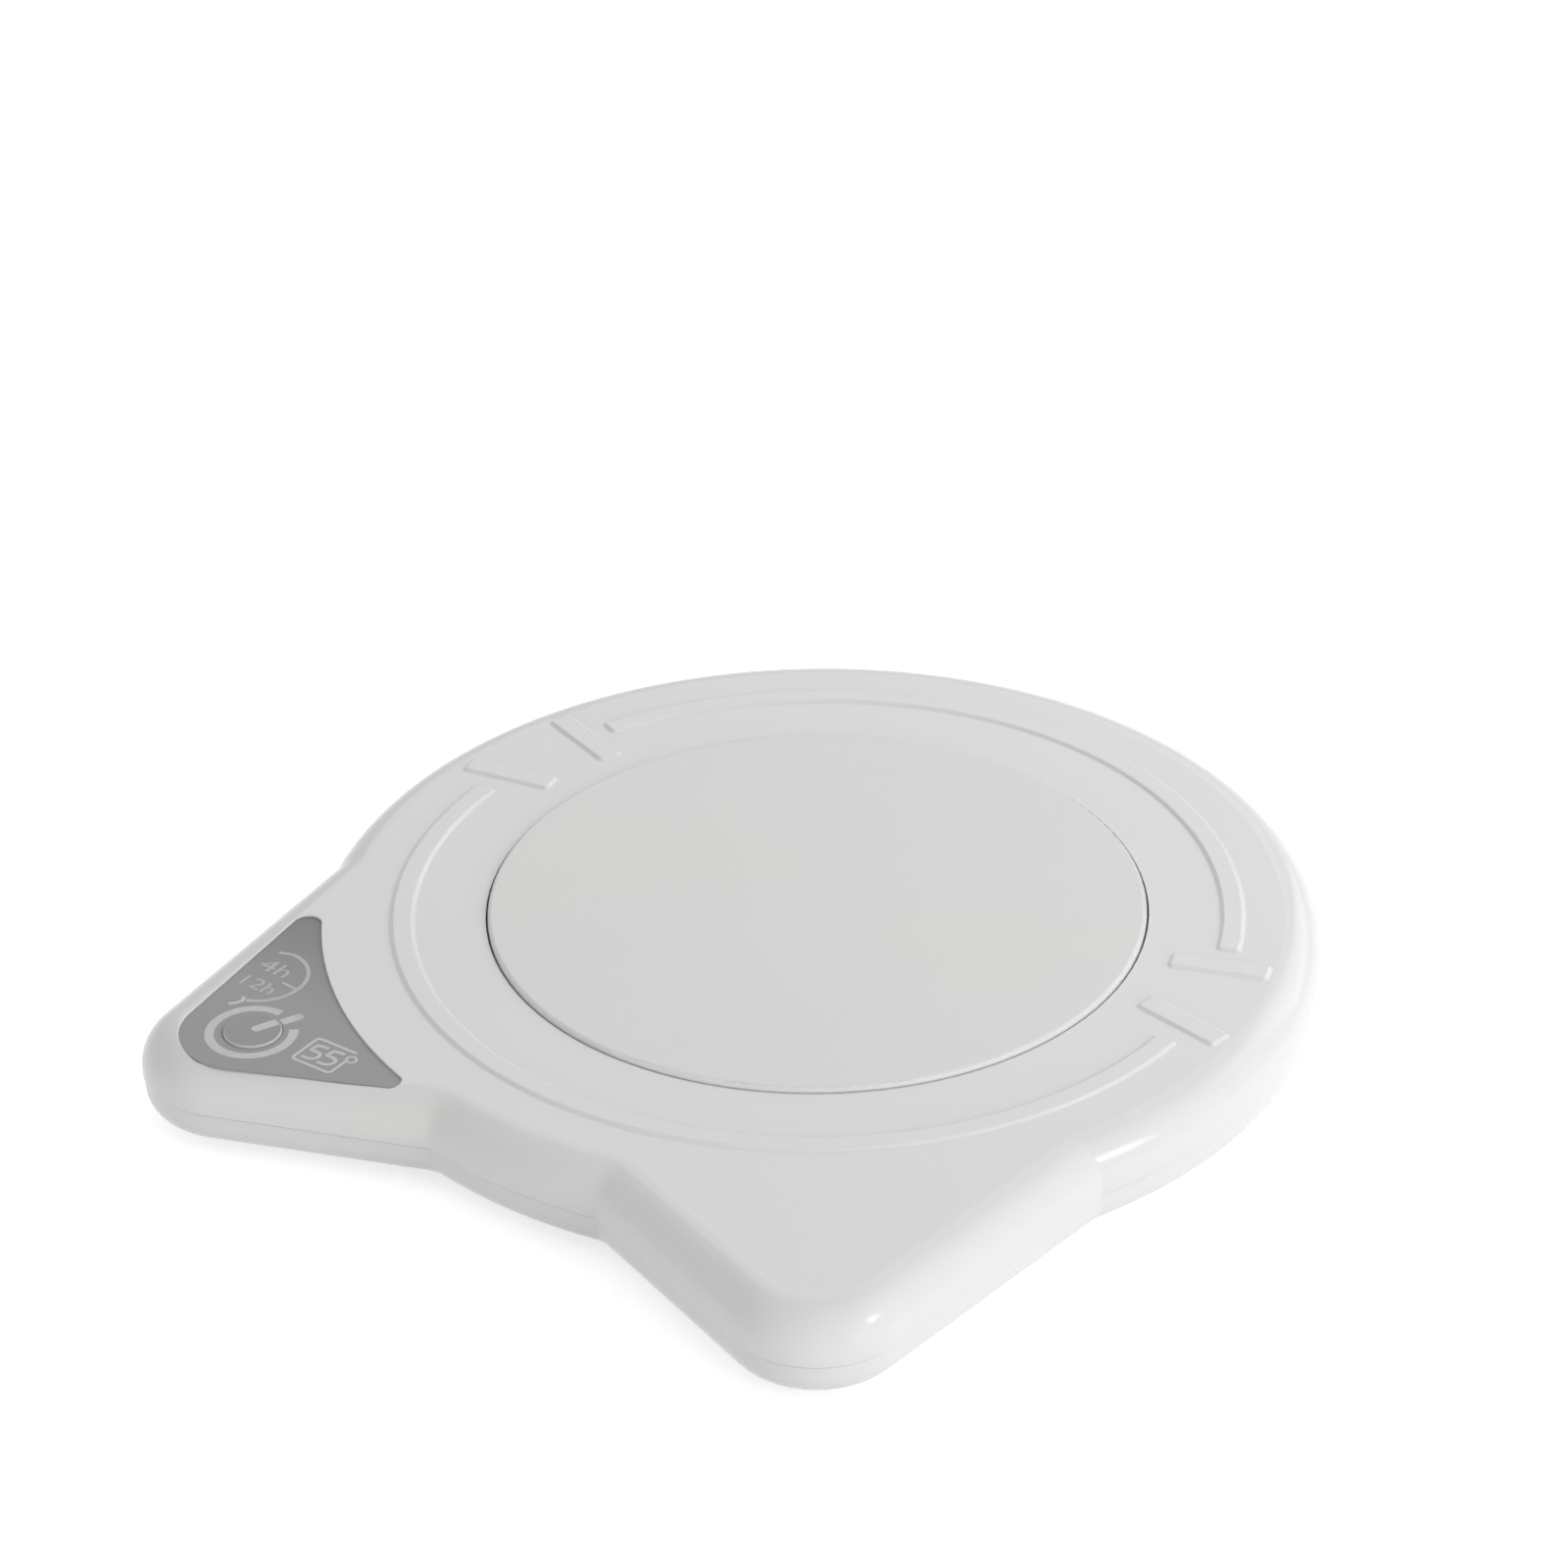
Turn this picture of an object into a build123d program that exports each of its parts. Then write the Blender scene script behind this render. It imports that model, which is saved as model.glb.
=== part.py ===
from build123d import *
from math import cos, radians, sin, sqrt
import os

# A slim electric mug warmer shaped like a cat's head: a round heated coaster with two ears.
# Millimetres, +Z up. The ears point towards -Y, where the user sits, and the supply inlet is
# at +Y. The origin is on the table, under the middle of the casing's bounding box.

# ---------------------------------------------------------------- casing, seen from above
DISC_R = 60.0  # the round body
EAR_TIP_R = 10.75  # the round tip of an ear
EAR_TIP_DIST = 71.1  # disc centre to the middle of that tip
EAR_SPREAD = 35.1  # degrees from -Y to the middle of the tip
EAR_TURN = 32.0  # degrees from -Y to the ear's own axis
EAR_HALF_ANGLE = 37.7  # each side of the ear against that axis
EAR_SIDE = 40.0  # length of a straight side, which ends inside the disc
EAR_BLEND_R = 2.0  # rounding of the hollow corner where an ear's side meets the disc
SIDES = (1, -1)  # +X, where the ear is plain, then -X, where it carries the controls

# ---------------------------------------------------------------- heights
BASE_Z = 1.8  # underside of the casing, which stands on its feet
PART_Z = 6.4  # joint between the two shells
TOP_Z = 12.0  # flat top of the disc and both ears
EDGE_R = 4.8  # rounding of the upper edge
BASE_EDGE_R = 3.0  # rounding of the lower edge
WALL = 1.8
FLOOR = 1.6
SEAM_STEP = 0.2  # the lower shell is set in by this, which draws the seam
SEAM_R = 0.25  # rounding of its upper edge, which makes the seam a fine groove
LIP_H = 0.9  # locating lip of the lower shell
LIP_T = 0.8
LIP_GAP = 0.1

# ---------------------------------------------------------------- relief on the top
RELIEF_H = 0.35
RELIEF_ROOT = 0.3  # how deep the relief is rooted in the shell
RELIEF_SLOPE = 0.4  # height of its leaning sides, which start just under the shell's surface
RELIEF_EDGE = 0.35  # rounding along its top and, hollow, along its foot
RELIEF_CORNER = 0.7  # its corners seen from above
RING_OUT_R = 50.6
RING_IN_R = 47.6
RING_GAP = (-0.8, 22.4)  # degrees from +X, mirrored to the other cheek
WHISKER_R = 48.8  # disc centre to the middle of a whisker
WHISKERS = ((3.9, -10.5), (18.4, 19.5))  # (place, direction) in degrees, for the +X cheek
WHISKER_L = 12.0
WHISKER_W = 3.3

# ---------------------------------------------------------------- heating plate and its stack
PLATE_R = 39.0
PLATE_RAISE = 0.6  # above the disc's top
PLATE_T = 1.5
PLATE_GAP = 0.25
FLANGE_R = 42.0
FLANGE_T = 1.0
SEAL_T = 0.6
SKIRT_IN_R = 37.4  # the plate is a shallow pan, open underneath
PLATE_EDGE = 0.5
FILM_R = 35.0
FILM_IN_R = 7.6
FILM_T = 0.2
TRACK_T = 0.15
TRACK_W = 1.6
TRACK_PITCH = 3.2
TRACK_TURNS = 8  # an even number brings both ends out on the same side
TRACK_START_R = 8.6
TRACK_GAP = 3.2  # width of the break in each turn
PAD_R = 36.0
PAD_T = 1.2
CLAMP_R = 36.4
CLAMP_T = 0.8
SENSOR_HOLE_R = 3.0
CLAMP_BOSS_R = 1.8
CLAMP_BOSS_DIST = 5.6
HEATER_TURN = -113.0  # the heater's leads run out in this direction
RETAINER_IN_R = 40.0
RETAINER_OUT_R = 46.6
RETAINER_T = 1.2
RETAINER_SCREW_DIST = 44.4

# ---------------------------------------------------------------- fasteners
BOSS_R = 2.6
BASE_BOSS_R = 3.4
RETAINER_BOSS_R = 2.2
SCREW_R = 1.0
PILOT_R = 1.05
HEAD_R = 2.1
HEAD_H = 1.3
CASING_SCREWS = ((28, 52.5), (152, 52.5), (-90, 52.5), (-55.1, 61.0), (-124.9, 55.5))
SCREW_SEAT_Z = 3.8  # where the casing screws' heads bear
CASING_SCREW_L = 5.0
SHANK_ROOM = 0.25
HEAD_ROOM = 0.3
CROSS = (1.2, 0.28, 0.6)  # a screw's cross recess against its head: length, width, depth
BOSS_MEET_Z = 5.2  # where the two shells' bosses meet
SMALL_SCREW_R = 0.8
SMALL_PILOT_R = 0.85
SMALL_HEAD_R = 1.6
SMALL_HEAD_H = 0.9
POST_R = 1.9

# ---------------------------------------------------------------- feet
FOOT_R = 5.0
FOOT_SINK = 0.8
FOOT_SEAT_R = 5.6
FOOT_FIT = 0.05
FOOT_CHAMFER = 0.5
FEET = ((55, 50.0), (125, 50.0), (-55.1, 70.5), (-124.9, 70.5))  # (direction, distance)

# ---------------------------------------------------------------- controls in the -X ear
PANEL_POINT = (-45.3, -69.4)  # where the panel's straight sides would meet, from the disc's centre
PANEL_TURNS = (97.1, 23.0)  # degrees, the directions in which they run from there
PANEL_SIDE = 45.0  # length of a straight side, which ends inside the hollow one
PANEL_TIP_R = 7.8
PANEL_IN_R = 58.6  # the panel's hollow side, round the disc's centre
PANEL_CORNERS = (1.7, 1.2)  # at the rear and the front end of that side
PANEL_T = 0.25
PANEL_RECESS = 0.5
PANEL_LIP = 0.1  # rounding of the recess's rim
BUTTON_AT = (-38.15, -57.95)  # from the disc's centre
BUTTON_R = 3.4
BUTTON_GAP = 0.1
BUTTON_RAISE = 0.25  # above the panel
BUTTON_FLANGE_R = 4.4
BUTTON_FLANGE_T = 0.8
BUTTON_REST_GAP = 0.05
BUTTON_STEM_R = 1.5
BUTTON_CROWN = 0.2  # rounding of the cap's upper edge
TIMER_AT = (-43.5, -48.3)
TIMER_WINDOW_R = 3.2
HEAT_AT = (-28.4, -56.9)
HEAT_WINDOW = (4.4, 3.0)
GUIDE_GAP = 0.1
GUIDE_FLANGE = 0.5
GUIDE_FLANGE_T = 0.8
GUIDE_Z = 6.6

BOARD_Z = 4.4  # underside of the control board
BOARD_T = 1.2
BOARD_INSET = 3.6
BOARD_IN_R = 53.0
BOARD_REACH = 25.0  # from the middle of the ear's tip
BOARD_SCREWS = ((-112.5, 59.5), (-140.0, 58.0))
SWITCH_SIZE = 5.2
SWITCH_FLOOR = 0.4
SWITCH_WELL_R = 2.2
SWITCH_WELL = 1.2
SWITCH_COVER_T = 0.3
PLUNGER_R = 1.15
PLUNGER_GAP = 0.08
PLUNGER_OUT = 0.7  # above the switch's cover
PLUNGER_BASE_R = 1.9
PLUNGER_BASE_H = 0.5
DOME_R = 2.0
DOME_H = 0.55
DOME_T = 0.1
CHIP_AT = (-36.9, -50.9)
CHIP_SIZE = (4.9, 3.9, 1.4)
TRANSISTOR_AT = (-29.5, -51.0)
TRANSISTOR_SIZE = (4.0, 3.0, 1.2)
CAPACITOR_AT = (-41.8, -41.3)
CAPACITOR_R = 2.0
CAPACITOR_H = 3.0
LED_SIZE = (1.6, 0.8, 0.6)
LED_SPREAD = 1.6

# ---------------------------------------------------------------- supply inlet at +Y
SOCKET_OPEN = (8.34, 2.56)  # width and height of a USB-C mouth
SOCKET_SKIN = 0.3
SOCKET_DEPTH = 7.35
SOCKET_SET_BACK = 0.5  # behind the casing's wall
TONGUE = (6.69, 4.45, 0.7)
INSULATOR_T = 1.6
SOCKET_SLOT_GAP = 0.25
CONTACT_PITCH = 0.5
CONTACTS = 12
CONTACT_SIZE = (0.25, 3.4, 0.06)
INLET_BOARD = (20.0, 11.0, 1.0)
INLET_BOARD_Y = 50.5  # disc centre to the middle of the board
INLET_SCREW = (7.6, 53.6)
CONNECTOR_AT = (-3.0, 48.0)
CONNECTOR_SIZE = (5.3, 4.6, 2.4)

# ---------------------------------------------------------------- leads
LEAD_R = 0.75
SUPPLY_ARC_R = (47.4, 49.0)  # the two supply leads run round the heater at these distances
SUPPLY_ARC_START = 97.0
SUPPLY_ARC_END = 200.0  # degrees, where they leave the arc for the control board
SUPPLY_RUN = (25.9, 24.0)
LEAD_BEND = 1.6
LEAD_END = 54.5  # where the heater's and sensor's leads end, on the control board
INNER_LEAD_OFF = -2.4  # sideways from the heater's leading-out line
OUTER_LEAD_OFF = -5.0
SENSOR_LEAD_R = 0.4
SENSOR_LEAD_OFF = 0.6
SENSOR_R = 1.25
SENSOR_H = 1.6
FUSE_R = 1.1
FUSE_SPAN = (18.0, 27.0)

# ---------------------------------------------------------------- worked out from the above
EAR_FRONT = EAR_TIP_DIST * cos(radians(EAR_SPREAD)) + EAR_TIP_R
DISC_Y = (EAR_FRONT - DISC_R) / 2
DISC = Plane(origin=(0, DISC_Y, 0))
CEILING_Z = TOP_Z - WALL
FLOOR_Z = BASE_Z + FLOOR
SHELL_INSET = SEAM_STEP + WALL
PLATE_TOP_Z = TOP_Z + PLATE_RAISE
PLATE_UNDER_Z = PLATE_TOP_Z - PLATE_T
FLANGE_TOP_Z = CEILING_Z - SEAL_T
FLANGE_Z = FLANGE_TOP_Z - FLANGE_T
FILM_Z = PLATE_UNDER_Z - FILM_T
TRACK_Z = FILM_Z - TRACK_T
PAD_Z = TRACK_Z - PAD_T
CLAMP_Z = PAD_Z - CLAMP_T
RETAINER_Z = FLANGE_Z - RETAINER_T
PANEL_Z = TOP_Z - PANEL_RECESS
PANEL_TOP_Z = PANEL_Z + PANEL_T
BUTTON_TOP_Z = PANEL_TOP_Z + BUTTON_RAISE
BUTTON_FLANGE_TOP_Z = CEILING_Z - BUTTON_REST_GAP
BUTTON_FLANGE_Z = BUTTON_FLANGE_TOP_Z - BUTTON_FLANGE_T
BOARD_TOP_Z = BOARD_Z + BOARD_T
WELL_Z = BOARD_TOP_Z + SWITCH_FLOOR
SWITCH_COVER_Z = WELL_Z + SWITCH_WELL
PLUNGER_Z = WELL_Z + DOME_H
PLUNGER_TOP_Z = SWITCH_COVER_Z + SWITCH_COVER_T + PLUNGER_OUT
LEAD_Z = BOARD_TOP_Z + LEAD_R
SOCKET_W = SOCKET_OPEN[0] + 2 * SOCKET_SKIN
SOCKET_H = SOCKET_OPEN[1] + 2 * SOCKET_SKIN
SOCKET_MOUTH_Y = DISC_R - SOCKET_SET_BACK
SOCKET_BACK_Y = SOCKET_MOUTH_Y - SOCKET_DEPTH
INLET_BOARD_TOP_Z = PART_Z - SOCKET_H / 2
INLET_BOARD_Z = INLET_BOARD_TOP_Z - INLET_BOARD[2]
INLET = Plane(origin=(0, DISC_Y + SOCKET_BACK_Y, PART_Z), x_dir=(-1, 0, 0), z_dir=(0, 1, 0))
INLET_SCREWS = [(side * INLET_SCREW[0], INLET_SCREW[1]) for side in SIDES]
BOSS_HOLE_R = BASE_BOSS_R + HEAD_ROOM  # room for a casing screw's boss in the control board
EAR_TIP = (EAR_TIP_DIST, -90 - EAR_SPREAD)  # (distance, direction) of the control ear's tip


def polar(distance, angle):
    """A point seen from the disc's centre, with its angle in degrees from +X."""
    return distance * cos(radians(angle)), distance * sin(radians(angle))


def ear_outline(side, inset):
    """One ear from its round tip to well inside the disc, set in all round."""
    tip = Vector(*polar(EAR_TIP_DIST, -90 + side * EAR_SPREAD))
    inward = 90 + side * EAR_TURN
    tip_r = EAR_TIP_R - inset
    corners = []
    for turn in (1, -1):
        run = inward + turn * EAR_HALF_ANGLE
        tangent = tip + Vector(*polar(tip_r, run + turn * 90))
        inner = tangent + Vector(*polar(EAR_SIDE, run))
        corners += [tangent, inner] if turn == 1 else [inner, tangent]
    with BuildSketch() as outline:
        with Locations(tip):
            Circle(tip_r)
        Polygon(*corners, align=None)
    return outline.sketch


def casing_block(inset, low, high, top_r=0.0, base_r=0.0):
    """The whole casing's form between two heights, set in all round, its edges rounded."""
    with BuildPart() as block:
        with BuildSketch(DISC.offset(low)):
            Circle(DISC_R - inset)
            for side in SIDES:
                add(ear_outline(side, inset))
        extrude(amount=high - low)
        # the upright edges nearest to the disc's centre are where the ears' sides meet the disc
        uprights = block.edges().filter_by(Axis.Z).sort_by_distance(DISC.origin)
        fillet(uprights[: 2 * len(SIDES)], EAR_BLEND_R + inset)
        if top_r:
            fillet(block.edges().group_by(Axis.Z)[-1], top_r)
        if base_r:
            fillet(block.edges().group_by(Axis.Z)[0], base_r)
    return block.part


def places(spots):
    """Locations on the disc's plane for a list of (direction, distance)."""
    return [polar(distance, angle) for angle, distance in spots]


def screws(spots, seat_z, length, shank_r, head_r, head_h, up=1):
    """Cross-head screws whose heads bear at seat_z, driven upwards, or downwards with up=-1."""
    head_end, shank_end = (0, -1) if up == 1 else (-1, 0)
    with BuildPart() as group:
        with BuildSketch(DISC.offset(seat_z)):
            with Locations(spots):
                Circle(head_r)
        extrude(amount=-up * head_h)
        chamfer(group.edges().group_by(Axis.Z)[head_end], head_h / 4)
        with BuildSketch(DISC.offset(seat_z)):
            with Locations(spots):
                Circle(shank_r)
        extrude(amount=up * length)
        chamfer(group.edges().group_by(Axis.Z)[shank_end], shank_r / 2)
        with BuildSketch(DISC.offset(seat_z - up * head_h)):
            with Locations(spots):
                Rectangle(head_r * CROSS[0], head_r * CROSS[1])
                Rectangle(head_r * CROSS[1], head_r * CROSS[0])
        extrude(amount=up * head_h * CROSS[2], mode=Mode.SUBTRACT)
    return group.part


def lead(points, radius):
    """A round wire along straight runs joined by small bends, each point as heater_point gives it."""
    with BuildPart() as wire:
        with BuildLine() as path:
            FilletPolyline(*points, radius=LEAD_BEND)
        with BuildSketch(Plane(origin=path.line @ 0, z_dir=path.line % 0)):
            Circle(radius)
        sweep()
    return wire.part


def heater_point(out, off, z):
    """A point so far out along the heater's leading-out line and so far off it sideways."""
    turned = Vector(out, off).rotate(Axis.Z, HEATER_TURN)
    return turned.X, turned.Y + DISC_Y, z


def save(piece, name):
    """Labels a finished piece and writes it as one STEP file."""
    piece.label = name
    export_step(piece, f"parts/{name}.step")


os.makedirs("parts", exist_ok=True)

# ================================================================ casing
top_body = casing_block(0, PART_Z, TOP_Z, top_r=EDGE_R)
top_hollow = casing_block(WALL, PART_Z, CEILING_Z, top_r=EDGE_R - WALL)

panel_ends = [Vector(*PANEL_POINT) + Vector(*polar(PANEL_SIDE, turn)) for turn in PANEL_TURNS]
with BuildSketch() as panel_shape:
    Polygon(PANEL_POINT, *panel_ends, align=None)
    fillet(panel_shape.vertices().sort_by(Axis.Y)[0], PANEL_TIP_R)
    Circle(PANEL_IN_R, mode=Mode.SUBTRACT)
    for end, corner_r in zip((-1, 0), PANEL_CORNERS):
        hollow_side = panel_shape.vertices().group_by(SortBy.DISTANCE)[0]
        fillet(hollow_side.sort_by(Axis.Y)[end], corner_r)

# The ring is broken on both cheeks, where the whiskers stand. All their sides lean in.
with BuildPart() as relief:
    with BuildSketch(DISC.offset(TOP_Z - RELIEF_ROOT)):
        Circle(RING_OUT_R)
        Circle(RING_IN_R, mode=Mode.SUBTRACT)
        for side in SIDES:
            reach = 2 * RING_OUT_R
            wedge = [polar(reach, angle) for angle in (*RING_GAP, sum(RING_GAP) / 2)]
            wedge = [(side * x, y) for x, y in wedge]
            Polygon((0, 0), wedge[0], wedge[2], wedge[1], align=None, mode=Mode.SUBTRACT)
    extrude(amount=RELIEF_ROOT + RELIEF_H)
    fillet(relief.edges().filter_by(Axis.Z), RELIEF_CORNER)
    for side in SIDES:
        for place, turn in WHISKERS:
            x, y = polar(WHISKER_R, place)
            with BuildSketch(DISC.offset(TOP_Z - RELIEF_ROOT)):
                with Locations(Location((side * x, y, 0), (0, 0, side * turn))):
                    RectangleRounded(WHISKER_L, WHISKER_W, RELIEF_CORNER)
            extrude(amount=RELIEF_ROOT + RELIEF_H)
    chamfer(relief.edges().group_by(Axis.Z)[-1], RELIEF_SLOPE)
    fillet(relief.edges().group_by(Axis.Z)[-1], RELIEF_EDGE)

with BuildPart() as top_shell:
    add(top_body)
    add(relief.part)
    relief_foot = top_shell.edges(Select.LAST).filter_by_position(Axis.Z, TOP_Z, TOP_Z)
    fillet(relief_foot, RELIEF_EDGE)
    add(top_hollow, mode=Mode.SUBTRACT)
    # round opening for the heating plate
    with BuildSketch(DISC.offset(PART_Z)):
        Circle(PLATE_R + PLATE_GAP)
    extrude(amount=TOP_Z, mode=Mode.SUBTRACT)
    # bosses for the casing screws and for the plate's retaining ring
    with BuildSketch(DISC.offset(BOSS_MEET_Z)):
        with Locations(places(CASING_SCREWS)):
            Circle(BOSS_R)
    extrude(amount=CEILING_Z - BOSS_MEET_Z)
    with BuildSketch(DISC.offset(FLANGE_Z)):
        with PolarLocations(RETAINER_SCREW_DIST, 4, start_angle=45):
            Circle(RETAINER_BOSS_R)
    extrude(amount=CEILING_Z - FLANGE_Z)
    with BuildSketch(DISC.offset(BOSS_MEET_Z)):
        with Locations(places(CASING_SCREWS)):
            Circle(PILOT_R)
    extrude(amount=CEILING_Z - BOSS_MEET_Z, mode=Mode.SUBTRACT)
    with BuildSketch(DISC.offset(FLANGE_Z)):
        with PolarLocations(RETAINER_SCREW_DIST, 4, start_angle=45):
            Circle(PILOT_R)
    extrude(amount=CEILING_Z - FLANGE_Z, mode=Mode.SUBTRACT)
    # recess for the control panel, with its openings
    with BuildSketch(DISC.offset(PANEL_Z)):
        add(panel_shape.sketch)
    extrude(amount=TOP_Z, mode=Mode.SUBTRACT)
    rim = top_shell.edges(Select.LAST).filter_by(Axis.Z, reverse=True)
    fillet(rim.filter_by_position(Axis.Z, PANEL_TOP_Z, TOP_Z), PANEL_LIP)
    with BuildSketch(DISC.offset(PART_Z)):
        with Locations(BUTTON_AT):
            Circle(BUTTON_R + BUTTON_GAP)
        with Locations(TIMER_AT):
            Circle(TIMER_WINDOW_R)
        with Locations(HEAT_AT):
            Rectangle(*HEAT_WINDOW)
    extrude(amount=TOP_Z, mode=Mode.SUBTRACT)
    # mouth of the supply inlet
    with BuildSketch(INLET):
        SlotOverall(SOCKET_W + 2 * SOCKET_SLOT_GAP, SOCKET_H + 2 * SOCKET_SLOT_GAP)
    extrude(amount=2 * SOCKET_DEPTH, mode=Mode.SUBTRACT)
save(top_shell.part, "top_shell")

base_body = casing_block(SEAM_STEP, BASE_Z, PART_Z, top_r=SEAM_R, base_r=BASE_EDGE_R)
base_hollow = casing_block(SHELL_INSET, FLOOR_Z, PART_Z, base_r=BASE_EDGE_R - FLOOR)
lip_outer = casing_block(WALL + LIP_GAP, PART_Z - LIP_H, PART_Z + LIP_H)
lip_inner = casing_block(WALL + LIP_T, PART_Z - LIP_H, PART_Z + LIP_H)

with BuildPart() as bottom_shell:
    add(base_body)
    add(base_hollow, mode=Mode.SUBTRACT)
    add(lip_outer)
    add(lip_inner, mode=Mode.SUBTRACT)
    # screw bosses, foot seats and board posts stand on the floor
    with BuildSketch(DISC.offset(BASE_Z + FOOT_SINK)):
        with Locations(places(CASING_SCREWS)):
            Circle(BASE_BOSS_R)
    extrude(amount=BOSS_MEET_Z - BASE_Z - FOOT_SINK)
    with BuildSketch(DISC.offset(BASE_Z + FOOT_SINK)):
        with Locations(places(FEET)):
            Circle(FOOT_SEAT_R)
    extrude(amount=FLOOR)
    with BuildSketch(DISC.offset(FLOOR_Z)):
        with Locations(places(BOARD_SCREWS)):
            Circle(POST_R)
    extrude(amount=BOARD_Z - FLOOR_Z)
    with BuildSketch(DISC.offset(FLOOR_Z)):
        with Locations(INLET_SCREWS):
            Circle(POST_R)
    extrude(amount=INLET_BOARD_Z - FLOOR_Z)
    # counterbored screw holes
    with Locations(*[Location((x, y + DISC_Y, BASE_Z), (180, 0, 0)) for x, y in places(CASING_SCREWS)]):
        CounterBoreHole(SCREW_R + SHANK_ROOM, HEAD_R + HEAD_ROOM, SCREW_SEAT_Z - BASE_Z, depth=BOSS_MEET_Z)
    with BuildSketch(DISC.offset(BASE_Z)):
        with Locations(places(FEET)):
            Circle(FOOT_R)
    extrude(amount=FOOT_SINK, mode=Mode.SUBTRACT)
    # pilot holes for the boards' screws
    with BuildSketch(DISC.offset(BASE_Z + FOOT_SINK)):
        with Locations(places(BOARD_SCREWS) + INLET_SCREWS):
            Circle(SMALL_PILOT_R)
    extrude(amount=BOARD_Z, mode=Mode.SUBTRACT)
    with BuildSketch(INLET):
        SlotOverall(SOCKET_W + 2 * SOCKET_SLOT_GAP, SOCKET_H + 2 * SOCKET_SLOT_GAP)
    extrude(amount=2 * SOCKET_DEPTH, mode=Mode.SUBTRACT)
save(bottom_shell.part, "bottom_shell")

with BuildPart() as rubber_feet:
    with BuildSketch(DISC):
        with Locations(places(FEET)):
            Circle(FOOT_R - FOOT_FIT)
    extrude(amount=BASE_Z + FOOT_SINK)
    chamfer(rubber_feet.edges().group_by(Axis.Z)[0], FOOT_CHAMFER)
save(rubber_feet.part, "rubber_feet")

casing_screws = screws(places(CASING_SCREWS), SCREW_SEAT_Z, CASING_SCREW_L, SCREW_R, HEAD_R, HEAD_H)
save(casing_screws, "casing_screws")

# ================================================================ heater
with BuildPart() as heating_plate:
    with BuildSketch(DISC.offset(FLANGE_Z)):
        Circle(FLANGE_R)
    extrude(amount=FLANGE_T)
    with BuildSketch(DISC.offset(FLANGE_Z)):
        Circle(PLATE_R)
    extrude(amount=PLATE_TOP_Z - FLANGE_Z)
    fillet(heating_plate.edges().group_by(Axis.Z)[-1], PLATE_EDGE)
    with BuildSketch(DISC.offset(FLANGE_Z)):
        Circle(SKIRT_IN_R)
    extrude(amount=PLATE_UNDER_Z - FLANGE_Z, mode=Mode.SUBTRACT)
    # bosses that take the clamp plate's screws
    with BuildSketch(DISC.offset(CLAMP_Z + CLAMP_T)):
        with PolarLocations(CLAMP_BOSS_DIST, 3, start_angle=HEATER_TURN + 180):
            Circle(CLAMP_BOSS_R)
            Circle(SMALL_PILOT_R, mode=Mode.SUBTRACT)
    extrude(amount=PLATE_UNDER_Z - CLAMP_Z - CLAMP_T)
save(heating_plate.part, "heating_plate")

with BuildPart() as plate_seal:
    with BuildSketch(DISC.offset(FLANGE_TOP_Z)):
        Circle(FLANGE_R - PLATE_GAP)
        Circle(PLATE_R + PLATE_GAP, mode=Mode.SUBTRACT)
    extrude(amount=SEAL_T)
save(plate_seal.part, "plate_seal")

with BuildPart() as retaining_ring:
    with BuildSketch(DISC.offset(RETAINER_Z)):
        Circle(RETAINER_OUT_R)
        Circle(RETAINER_IN_R, mode=Mode.SUBTRACT)
        with PolarLocations(RETAINER_SCREW_DIST, 4, start_angle=45):
            Circle(PILOT_R + GUIDE_GAP, mode=Mode.SUBTRACT)
    extrude(amount=RETAINER_T)
save(retaining_ring.part, "retaining_ring")

retainer_spots = [polar(RETAINER_SCREW_DIST, 45 + 90 * turn) for turn in range(4)]
retainer_screw_l = CEILING_Z - RETAINER_Z - GUIDE_GAP
retainer_screws = screws(retainer_spots, RETAINER_Z, retainer_screw_l, SCREW_R, SMALL_HEAD_R, SMALL_HEAD_H)
save(retainer_screws, "retainer_screws")

with BuildPart() as heater_film:
    with BuildSketch(DISC.offset(FILM_Z)):
        Circle(FILM_R)
        Circle(FILM_IN_R, mode=Mode.SUBTRACT)
    extrude(amount=FILM_T)
save(heater_film.part, "heater_film")

# The turns are open rings, each joined to the next at one side of the gap, so the current
# goes back and forth from the innermost turn to the outermost.
HEATER = Plane(origin=(0, DISC_Y, TRACK_Z), x_dir=polar(1, HEATER_TURN) + (0,), z_dir=(0, 0, 1))
with BuildPart() as heater_track:
    with BuildSketch(HEATER):
        for turn in reversed(range(TRACK_TURNS)):
            middle = TRACK_START_R + turn * TRACK_PITCH
            Circle(middle + TRACK_W / 2)
            Circle(middle - TRACK_W / 2, mode=Mode.SUBTRACT)
        with Locations((FILM_R / 2, 0)):
            Rectangle(FILM_R, TRACK_GAP, mode=Mode.SUBTRACT)
        for turn in range(TRACK_TURNS - 1):
            side = 1 - 2 * (turn % 2)
            between = TRACK_START_R + (turn + 0.5) * TRACK_PITCH
            with Locations((between, side * (TRACK_GAP + TRACK_W) / 2)):
                Rectangle(TRACK_PITCH, TRACK_W)
    extrude(amount=TRACK_T)
save(heater_track.part, "heater_track")

# where the leads rise through the pad and the clamp plate to the two ends of the track
INNER_TERMINAL = (sqrt(TRACK_START_R**2 - INNER_LEAD_OFF**2), INNER_LEAD_OFF)
TRACK_END_R = TRACK_START_R + (TRACK_TURNS - 1) * TRACK_PITCH
OUTER_TERMINAL = (sqrt(TRACK_END_R**2 - OUTER_LEAD_OFF**2), OUTER_LEAD_OFF)

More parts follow.
